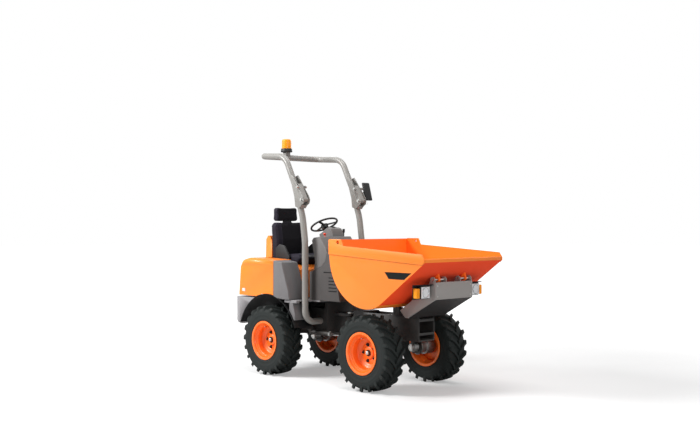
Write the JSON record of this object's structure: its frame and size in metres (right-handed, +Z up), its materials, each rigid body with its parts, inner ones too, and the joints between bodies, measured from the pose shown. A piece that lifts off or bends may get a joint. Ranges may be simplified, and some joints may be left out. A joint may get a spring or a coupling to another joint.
{
  "type": "articulated site dumper with front-tipping skip",
  "caption": "Compact articulated site dumper with a front-tipping skip, folding roll hoop, driver's seat over a tilting engine hood and four driven wheels.",
  "frame": {"origin": "on the ground under the middle of the machine's length and width", "axes": "+X forward towards the skip, +Y to the driver's left, +Z up"},
  "size_m": [3.038, 1.213, 2.7],
  "materials": {
    "orange_paint": "gloss orange paint",
    "frame_grey": "satin warm grey paint",
    "chassis_paint": "satin black paint",
    "hoop_paint": "semi-gloss grey paint",
    "panel_grey": "grained grey plastic",
    "black_plastic": "matt black",
    "seat_vinyl": "black vinyl",
    "tyre": "rubber",
    "motor_metal": "cast housing",
    "engine_metal": "cast block",
    "steel": "zinc plated",
    "rod_chrome": "chromed rod",
    "amber_lens": "clear amber",
    "red_lens": "red lens",
    "clear_lens": "clear lamp glass"
  },
  "bodies": {
    "rear_frame": {"rear_chassis": "chassis_paint", "articulation_pin": "steel", "rear_axle": "chassis_paint", "rear_wheel_motors": "motor_metal", "counterweight": "frame_grey", "engine_block": "engine_metal", "arch_liners": "black_plastic", "side_panels": "panel_grey", "platform_floor": "frame_grey", "seat_box": "orange_paint", "seat_cushion": "seat_vinyl", "seat_back": "seat_vinyl", "headrest": "seat_vinyl", "seat_sides": "black_plastic", "console": "panel_grey", "dash_pod": "panel_grey", "steering_column": "black_plastic", "pedals": "black_plastic", "control_lever": "black_plastic", "rear_lamps": "red_lens", "roll_posts": "hoop_paint", "mirror_arm": "black_plastic", "mirror": "black_plastic", "hood_hinges": "steel"},
    "hood": {"hood": "orange_paint"},
    "roll_hoop": {"roll_hoop": "hoop_paint", "beacon_base": "black_plastic", "beacon_lens": "amber_lens"},
    "steering_wheel": {"steering_wheel": "black_plastic"},
    "front_frame": {"front_chassis": "chassis_paint", "front_axle": "chassis_paint", "front_wheel_motors": "motor_metal", "nose_box": "frame_grey", "skip_pins": "steel", "lamp_brackets": "black_plastic", "headlamps": "black_plastic", "headlamp_lenses": "clear_lens", "indicators": "amber_lens"},
    "skip": {"skip_shell": "orange_paint", "skip_ribs": "orange_paint"},
    "tip_barrel": {"tip_barrel": "chassis_paint"},
    "tip_rod": {"tip_rod": "rod_chrome"},
    "steer_barrel": {"steer_barrel": "chassis_paint"},
    "steer_rod": {"steer_rod": "rod_chrome"},
    "wheel_front_left": {"tyre_front_left": "tyre", "rim_front_left": "orange_paint"},
    "wheel_front_right": {"tyre_front_right": "tyre", "rim_front_right": "orange_paint"},
    "wheel_rear_left": {"tyre_rear_left": "tyre", "rim_rear_left": "orange_paint"},
    "wheel_rear_right": {"tyre_rear_right": "tyre", "rim_rear_right": "orange_paint"}
  },
  "joints": [
    {"name": "articulation", "type": "hinge", "parent": "rear_frame", "child": "front_frame", "pos_m": [-0.116, 0, 0.59], "axis": [0, 0, 1], "range_deg": [-30, 30]},
    {"name": "skip_tip", "type": "hinge", "parent": "front_frame", "child": "skip", "pos_m": [1.344, 0, 1.15], "axis": [0, 1, 0], "range_deg": [0, 85]},
    {"name": "roll_hoop_fold", "type": "hinge", "parent": "rear_frame", "child": "roll_hoop", "pos_m": [-0.396, 0, 1.965], "axis": [0, 1, 0], "range_deg": [0, 150]},
    {"name": "hood_open", "type": "hinge", "parent": "rear_frame", "child": "hood", "pos_m": [-1.482, 0, 0.872], "axis": [0, -1, 0], "range_deg": [0, 50]},
    {"name": "steering_wheel_turn", "type": "hinge", "parent": "rear_frame", "child": "steering_wheel", "pos_m": [-0.556, 0, 1.69], "axis": [-0.4695, 0, 0.8829], "continuous": true},
    {"name": "tip_barrel_swing", "type": "hinge", "parent": "front_frame", "child": "tip_barrel", "pos_m": [0.264, 0, 0.6], "axis": [0, 1, 0], "range_deg": [-24, 1]},
    {"name": "tip_rod_slide", "type": "slide", "parent": "tip_barrel", "child": "tip_rod", "axis": [0.9244, 0, 0.3813], "range_m": [0, 0.3008]},
    {"name": "steer_barrel_swing", "type": "hinge", "parent": "rear_frame", "child": "steer_barrel", "pos_m": [-0.476, -0.27, 0.495], "axis": [0, 0, 1], "range_deg": [-9, 9]},
    {"name": "steer_rod_slide", "type": "slide", "parent": "steer_barrel", "child": "steer_rod", "axis": [0.9992, 0.0392, 0], "range_m": [-0.133, 0.133]},
    {"name": "wheel_front_left_roll", "type": "hinge", "parent": "front_frame", "child": "wheel_front_left", "pos_m": [0.667, 0.4745, 0.39], "axis": [0, 1, 0], "continuous": true},
    {"name": "wheel_front_right_roll", "type": "hinge", "parent": "front_frame", "child": "wheel_front_right", "pos_m": [0.667, -0.4745, 0.39], "axis": [0, 1, 0], "continuous": true},
    {"name": "wheel_rear_left_roll", "type": "hinge", "parent": "rear_frame", "child": "wheel_rear_left", "pos_m": [-0.899, 0.4745, 0.39], "axis": [0, 1, 0], "continuous": true},
    {"name": "wheel_rear_right_roll", "type": "hinge", "parent": "rear_frame", "child": "wheel_rear_right", "pos_m": [-0.899, -0.4745, 0.39], "axis": [0, 1, 0], "continuous": true}
  ],
  "couplings": [
    {"joint": "tip_barrel_swing", "follows": "skip_tip", "ratio": -0.25477},
    {"joint": "tip_rod_slide", "follows": "skip_tip", "m_per_rad": 0.20141},
    {"joint": "steer_barrel_swing", "follows": "articulation", "ratio": 0.25293},
    {"joint": "steer_rod_slide", "follows": "articulation", "m_per_rad": 0.25081}
  ]
}
